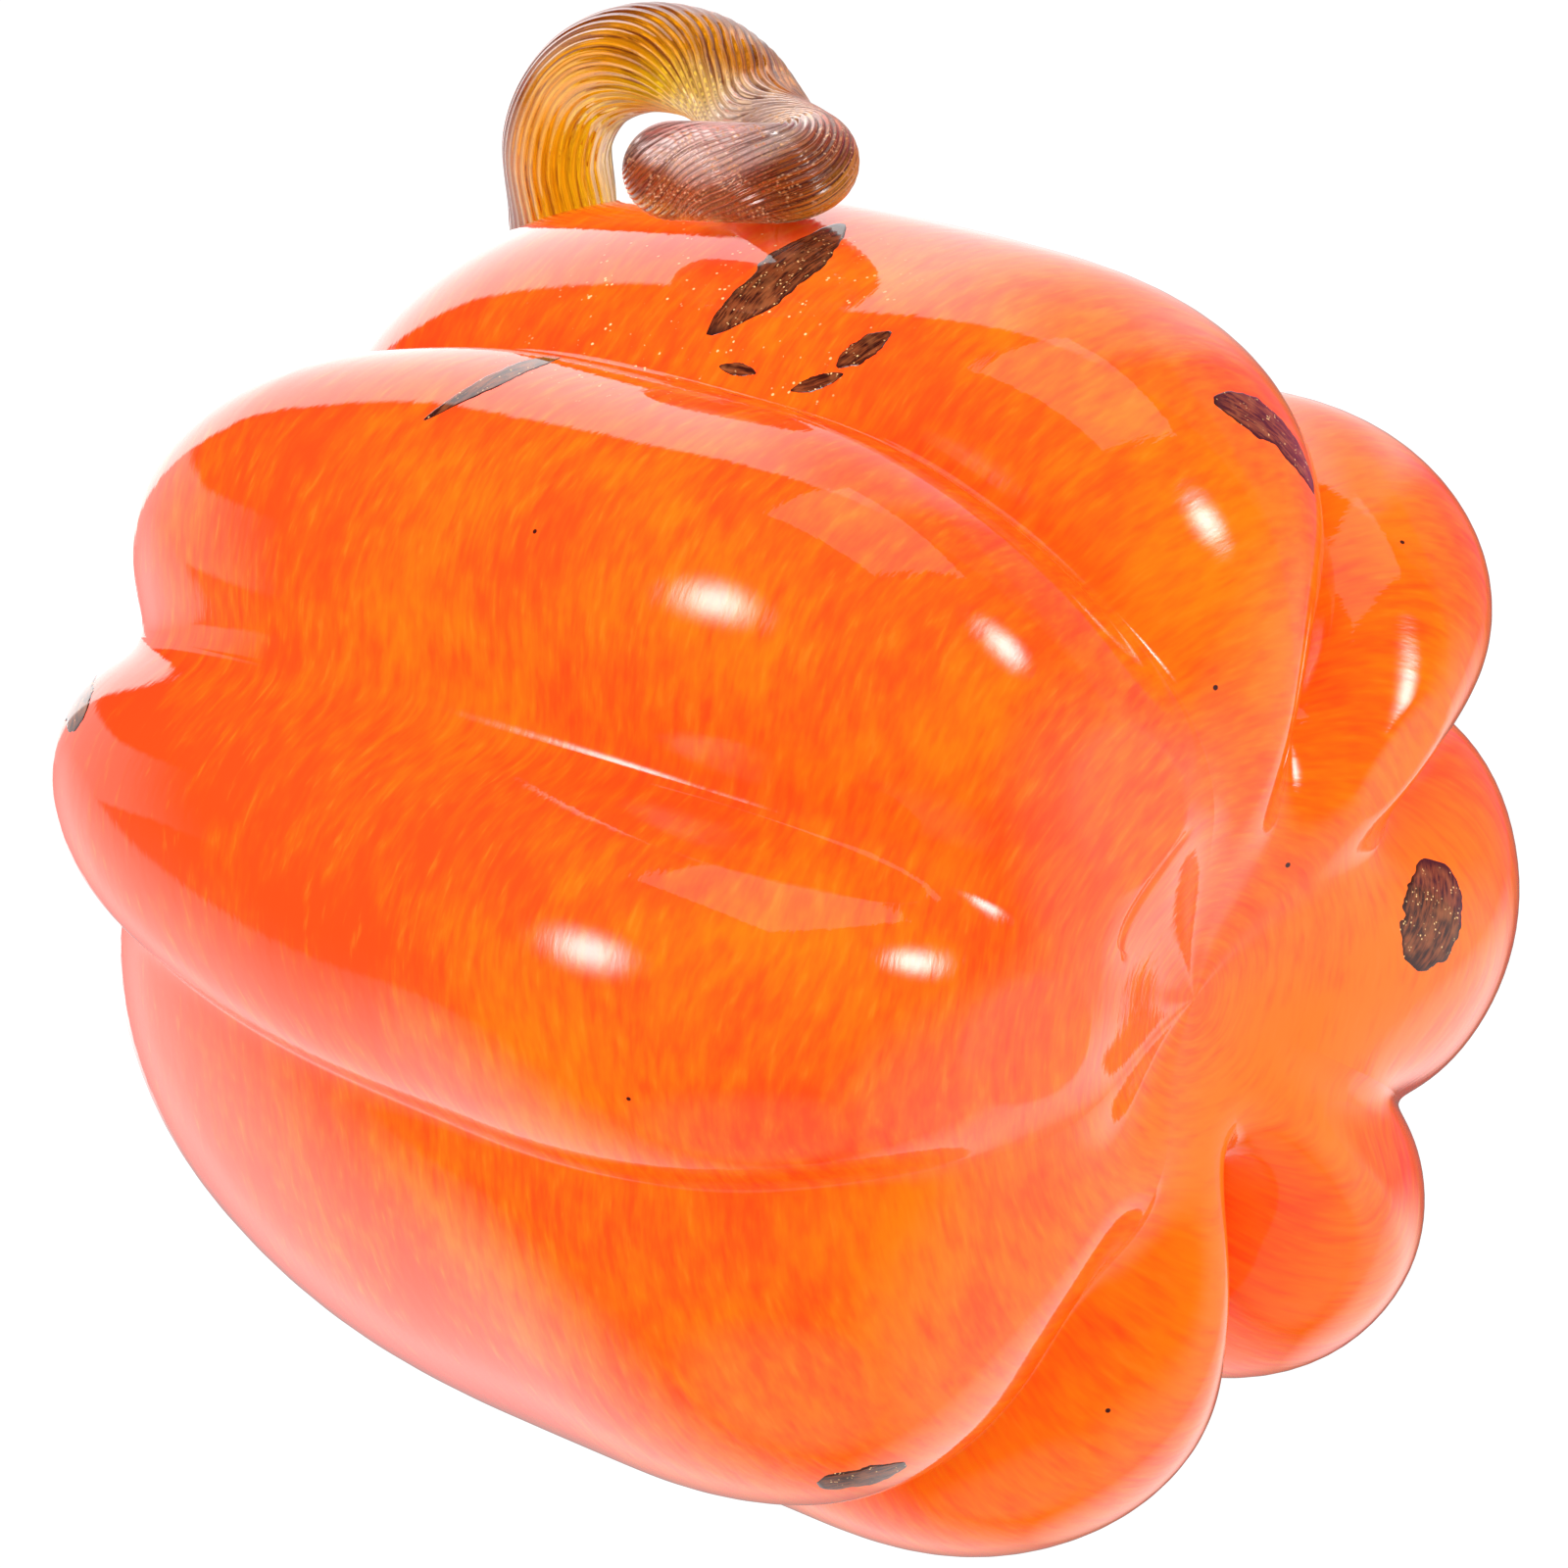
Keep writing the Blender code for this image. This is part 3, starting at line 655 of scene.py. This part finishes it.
def make_chip(name, chip, material):
    """A chip flush with the skin: its face lies a hair above the skin and its rim dips below it."""
    lobe, bow, polar, length, width, heading, bend, fullness = chip
    centre = bubble(lobe, bow, polar)
    per_bow = np.linalg.norm(bubble(lobe, bow + PROBE, polar) - centre) / PROBE
    per_polar = np.linalg.norm(bubble(lobe, bow, polar + PROBE) - centre) / PROBE
    turn = np.radians(heading)
    seed = Vector((len(name) * 3.7, polar * 11.0, bow * 7.0))
    vertices = []
    notes = {"rim": [], "along": [], "aside": []}
    for station in range(CHIP_STATIONS + 1):
        along = -1.0 + 2.0 * station / CHIP_STATIONS
        distance = along * length / 2
        taper = max(1.0 - along**2, 0.0) ** fullness
        for side in range(CHIP_SIDES + 1):
            spread = -1.0 + 2.0 * side / CHIP_SIDES
            ragged = 1.0
            for waves, height, layer in RAGGEDNESS:
                spot = Vector((along * waves, np.sign(spread) * EDGE_APART, layer))
                ragged += height * noise.noise(spot + seed)
            offset = spread * (width / 2) * taper * ragged + bend * (1.0 - along**2)
            u = bow + (distance * np.sin(turn) + offset * np.cos(turn)) / per_bow
            v = polar + (distance * np.cos(turn) - offset * np.sin(turn)) / per_polar
            rim = max(abs(spread), abs(along))
            lift = CHIP_LIFT - RIM_DIP * smoothstep(RIM_STARTS, 1.0, rim)
            point = skin(lobe, u, v)
            vertices.append(point + outward_normal(lobe, u, v, point) * lift)
            notes["rim"].append(rim)
            notes["along"].append(distance + seed.y)
            notes["aside"].append(offset)
    faces = []
    row = CHIP_SIDES + 1
    for station in range(CHIP_STATIONS):
        for side in range(CHIP_SIDES):
            corner = station * row + side
            faces.append((corner, corner + 1, corner + row + 1, corner + row))
    piece = new_piece("chip_" + name, vertices, faces, material)
    for note, values in notes.items():
        store(piece, note, values)
    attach(piece, "root")
    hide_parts("goldstone_" + name)


# ---------------------------------------------------------------- the twisted stem
def stem_centreline(count):
    """Evenly spaced points of a Catmull-Rom curve through the stem's own points."""
    knots = [np.array(point) for point in STEM_POINTS]
    knots = [2 * knots[0] - knots[1]] + knots + [2 * knots[-1] - knots[-2]]
    fine = []
    for index in range(1, len(knots) - 2):
        before, start, end, after = knots[index - 1:index + 3]
        for part in np.linspace(0.0, 1.0, CURVE_STEPS, endpoint=False):
            fine.append(0.5 * (2 * start + (end - before) * part
                               + (2 * before - 5 * start + 4 * end - after) * part**2
                               + (3 * start - before - 3 * end + after) * part**3))
    fine.append(knots[-2])
    fine = np.array(fine)
    lengths = np.concatenate([[0.0], np.cumsum(np.linalg.norm(np.diff(fine, axis=0), axis=1))])
    stations = np.linspace(0.0, lengths[-1], count)
    return np.stack([np.interp(stations, lengths, fine[:, axis]) for axis in range(3)], axis=1), stations


def stem_radius(distance, length):
    """The rod's radius along its length: plug, flare on the crown, drawn rod and rounded tip."""
    rod = ROD_RADIUS + (TIP_RADIUS - ROD_RADIUS) * smoothstep(*DRAWN_SPAN, distance / length)
    if distance < FLARE_AT:
        rising = smoothstep(FLARE_AT - FLARE_RISE, FLARE_AT, distance)
        return PLUG_RADIUS + (FLARE_RADIUS - PLUG_RADIUS) * rising
    fade = np.exp(-(((distance - FLARE_AT) / FLARE_FALL) ** 2))
    left = length - distance
    rounding = np.sqrt(np.clip(1.0 - ((TIP_ROUNDING - left) / TIP_ROUNDING) ** 2, 0.0, 1.0))
    return (rod + (FLARE_RADIUS - rod) * fade) * (rounding if left < TIP_ROUNDING else 1.0)


def stem_twists(stations):
    """How far the ribs have turned: hardly on the rising rod, inwards over the bend, back at the tip."""
    slopes = np.interp(stations / stations[-1], TWIST_SHARES, TWIST_SLOPES)
    steps = np.diff(stations, prepend=0.0)
    return np.cumsum(slopes * steps) / ROD_RADIUS


def make_stem(material):
    """Sweeps a ribbed section along the stem's line, and notes at each point the rib's turn, the share of
    the length and where the painted light falls.
    """
    line, stations = stem_centreline(STEM_RINGS)
    length = stations[-1]
    tangents = unit(np.gradient(line, axis=0))
    eye = line[stations > CURL_STARTS * length].mean(axis=0)
    twists = stem_twists(stations)
    sides = RIBS * RIB_STEPS
    turns = 2 * np.pi * np.arange(sides) / sides
    side = np.array([1.0, 0.0, 0.0])
    vertices = []
    notes = {"turn": [], "along": [], "painted_light_facing": []}
    for index in range(STEM_RINGS - 1):
        tangent = tangents[index]
        side = unit(side - tangent * np.dot(side, tangent))
        other = np.cross(tangent, side)
        radius = stem_radius(stations[index], length)
        share = stations[index] / length
        height = RIB_HEIGHTS[0] + (RIB_HEIGHTS[1] - RIB_HEIGHTS[0]) * smoothstep(*RIB_SPAN, share)
        past_flare = smoothstep(FLARE_AT, FLARE_AT + FLARE_RISE, stations[index])
        height *= past_flare * min(1.0, radius / TIP_RADIUS)
        angles = turns + twists[index]
        outward = np.cos(angles)[:, None] * side + np.sin(angles)[:, None] * other
        reach = radius - height * (0.5 - 0.5 * np.cos(RIBS * turns))
        vertices.extend(line[index] + reach[:, None] * outward + CENTRE)
        notes["turn"].extend(turns)
        notes["along"].extend([share] * sides)
        # How far a point faces the curl's eye across the camera's view; the stem's colours use it for
        # painted shade on the outer edge and painted highlight and reflection on the inner side.
        toward_eye = eye - line[index]
        toward_eye = unit(toward_eye - FORWARD * np.dot(toward_eye, FORWARD))
        notes["painted_light_facing"].extend(outward @ toward_eye)
    faces = []
    for index in range(STEM_RINGS - 2):
        for step in range(sides):
            here = index * sides + step
            beside = index * sides + (step + 1) % sides
            faces.append((here, beside, beside + sides, here + sides))
    foot = len(vertices)
    vertices.append(line[0] + CENTRE)
    vertices.append(line[-1] + CENTRE)
    for name, values in notes.items():
        values.extend([0.0, 1.0] if name == "along" else [0.0, 0.0])
    last = (STEM_RINGS - 2) * sides
    for step in range(sides):
        beside = (step + 1) % sides
        faces.append((foot, beside, step))
        faces.append((foot + 1, last + step, last + beside))
    stem = new_piece("twisted_stem", vertices, faces, material)
    for name, values in notes.items():
        store(stem, name, values)
    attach(stem, "root")
    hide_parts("stem")


# ---------------------------------------------------------------- studio
FLOOR_REACH = 3.0
WHITE = (1.08, 1.08, 1.08, 1.0)   # what lights the glass and shows behind it
ROOM = (0.03, 0.02, 0.02)     # the dim room that shiny things mirror
CRIMSON = (0.6, 0.0, 0.18)    # the tint of its one colored corner

# Directions to what the glass mirrors, along the photographer's own right, up and forward.
SKY = (0.393, 0.523, 0.756)       # a bright ceiling with a sharp edge
SKY_END = (-0.506, 0.701, 0.506)  # it dims away from here
LOW_LEFT = (-0.52, -0.42, 0.742)  # a pale corner
LOW_LEFT_END = (0.393, -0.681, 0.617)  # it ends square to this
LOW_RIGHT = (0.863, -0.5, 0.075)  # the other pale corner
SIDE = (0.557, -0.5, 0.663)       # a small bright patch between them
STRIP = (-0.55, 0.0, 0.835)       # a low band of light
CRIMSON_CORNER = (0.714, 0.423, 0.558)

# The lamps: direction along the photographer's right, up and back, then size, watts, shape, and
# the share of the lamp's radius over which it fades outwards as through silk.
LAMPS = {
    "lamp_left": ((-0.70, 0.20, 0.68), 1.00, 46.0, "DISK", 0.96),
    "lamp_right": ((0.70, 0.46, 0.55), 0.70, 25.0, "DISK", 0.96),
    "panel_above": ((0.15, 0.85, 0.30), 0.8, 2.2, "SQUARE", 0.0),
}
LAMP_DISTANCE = 1.2
LAMP_FADE = 2.8               # power of the fade: the higher, the smaller the hot middle


def seen_from_lens(right, up, back):
    """A direction from the bubble, given along the photographer's own right, up and back."""
    return unit(right * RIGHT + up * UP - back * FORWARD)


def make_camera():
    data = bpy.data.cameras.new("camera")
    data.lens = FOCAL_LENGTH
    data.sensor_width = SENSOR
    data.clip_start, data.clip_end = CLIP
    camera = bpy.data.objects.new("camera", data)
    bpy.context.scene.collection.objects.link(camera)
    right, down, forward = CAMERA_OFFSET
    place = CENTRE - BODY_RADIUS * (right * RIGHT - down * UP + forward * FORWARD)
    basis = Matrix((RIGHT, UP, -FORWARD)).transposed().to_4x4()
    camera.matrix_world = Matrix.Translation(place) @ basis
    bpy.context.scene.camera = camera


def make_floor():
    reach = FLOOR_REACH
    corners = [(-reach, -reach, 0.0), (reach, -reach, 0.0), (reach, reach, 0.0), (-reach, reach, 0.0)]
    floor = new_piece("floor", corners, [(0, 1, 2, 3)], floor_material())
    for ray in ("visible_shadow", "visible_glossy", "visible_diffuse", "visible_transmission"):
        setattr(floor, ray, False)


def make_world():
    """White all round, but shiny things mirror a dim room with a bright sky and pale corners."""
    world = bpy.data.worlds.new("studio")
    world.use_nodes = True
    bpy.context.scene.world = world
    nodes = Nodes(world.node_tree)
    background = world.node_tree.nodes["Background"]
    direction = nodes.vector("NORMALIZE", nodes.add("ShaderNodeTexCoord").outputs["Generated"])

    def toward(right, up, forward):
        """1 straight along a direction given in the photographer's axes, 0 square to it."""
        return nodes.vector("DOT_PRODUCT", direction, tuple(seen_from_lens(right, up, -forward)))

    def product(*factors):
        total = factors[0]
        for factor in factors[1:]:
            total = nodes.math("MULTIPLY", total, factor)
        return total

    brighter_left = nodes.fit(toward(1.0, 0.0, 0.0), 0.20, -0.20, 0.85, 2.3)
    height = toward(0.0, 1.0, 0.0)
    # The sky, the low left corner, the low right one, the side, a glow from below, and the strip.
    lights = (
        product(nodes.fit(toward(*SKY), 0.565, 0.592), brighter_left,
                nodes.fit(toward(*SKY_END), 0.48, 0.62, 0.15, 1.0)),
        product(nodes.fit(toward(*LOW_LEFT), 0.64, 1.0), 1.5,
                nodes.fit(toward(0.0, 0.0, 1.0), 0.97, 0.80, 0.45, 1.0),
                nodes.fit(toward(*LOW_LEFT_END), -0.02, 0.03, 0.2, 1.0)),
        product(nodes.fit(toward(*LOW_RIGHT), 0.50, 0.98), 1.05),
        product(nodes.fit(toward(*SIDE), 0.80, 0.97), 1.5),
        nodes.fit(toward(0.0, -1.0, 0.0), 0.84, 0.98, 0.0, 0.5),
        product(nodes.fit(height, 0.02, 0.05), nodes.fit(height, 0.36, 0.33),
                nodes.fit(toward(*STRIP), 0.66, 0.90, 0.0, 0.80)),
    )
    light = lights[0]
    for other in lights[1:]:
        light = nodes.math("MAXIMUM", light, other)
    white = nodes.combine(light, light, light)
    corner = nodes.fit(toward(*CRIMSON_CORNER), 0.84, 0.88)
    tint = nodes.combine(*(nodes.math("MULTIPLY", corner, part) for part in CRIMSON))
    mirrored = nodes.vector("ADD", nodes.vector("ADD", white, tint), ROOM)
    rays = nodes.add("ShaderNodeLightPath").outputs
    off_a_surface = nodes.math("SUBTRACT", rays["Is Glossy Ray"], rays["Is Transmission Ray"])
    nodes.join(nodes.mix(off_a_surface, WHITE, mirrored), background.inputs["Color"])
    background.inputs["Strength"].default_value = 1.0


def add_lamp(name, direction, size, power, shape, fading):
    """A lamp that faces the bubble and may fade from its middle outwards."""
    data = bpy.data.lights.new(name, "AREA")
    data.shape = shape
    data.size = size
    data.energy = power
    if fading:
        data.use_nodes = True
        nodes = Nodes(data.node_tree)
        on_lamp = nodes.add("ShaderNodeNewGeometry").outputs["Parametric"]
        from_middle = nodes.vector("LENGTH", nodes.vector("SUBTRACT", on_lamp, (0.5, 0.5, 0.0)))
        fade = nodes.math("POWER", nodes.fit(from_middle, 0.5, 0.5 - fading / 2), LAMP_FADE)
        nodes.join(fade, data.node_tree.nodes["Emission"].inputs["Strength"])
    lamp = bpy.data.objects.new(name, data)
    bpy.context.scene.collection.objects.link(lamp)
    lamp.location = Vector(CENTRE + direction * LAMP_DISTANCE)
    lamp.rotation_euler = Vector(direction).to_track_quat("Z", "Y").to_euler()


def make_lamps():
    for name, (direction, *rest) in LAMPS.items():
        add_lamp(name, seen_from_lens(*direction), *rest)


def main():
    bpy.context.scene.view_settings.view_transform = "Standard"
    make_camera()
    make_body(cased_glass())
    stone = goldstone()
    for name, chip in CHIPS.items():
        make_chip(name, chip, stone)
    make_stem(stem_glass())
    make_floor()
    make_world()
    make_lamps()


main()
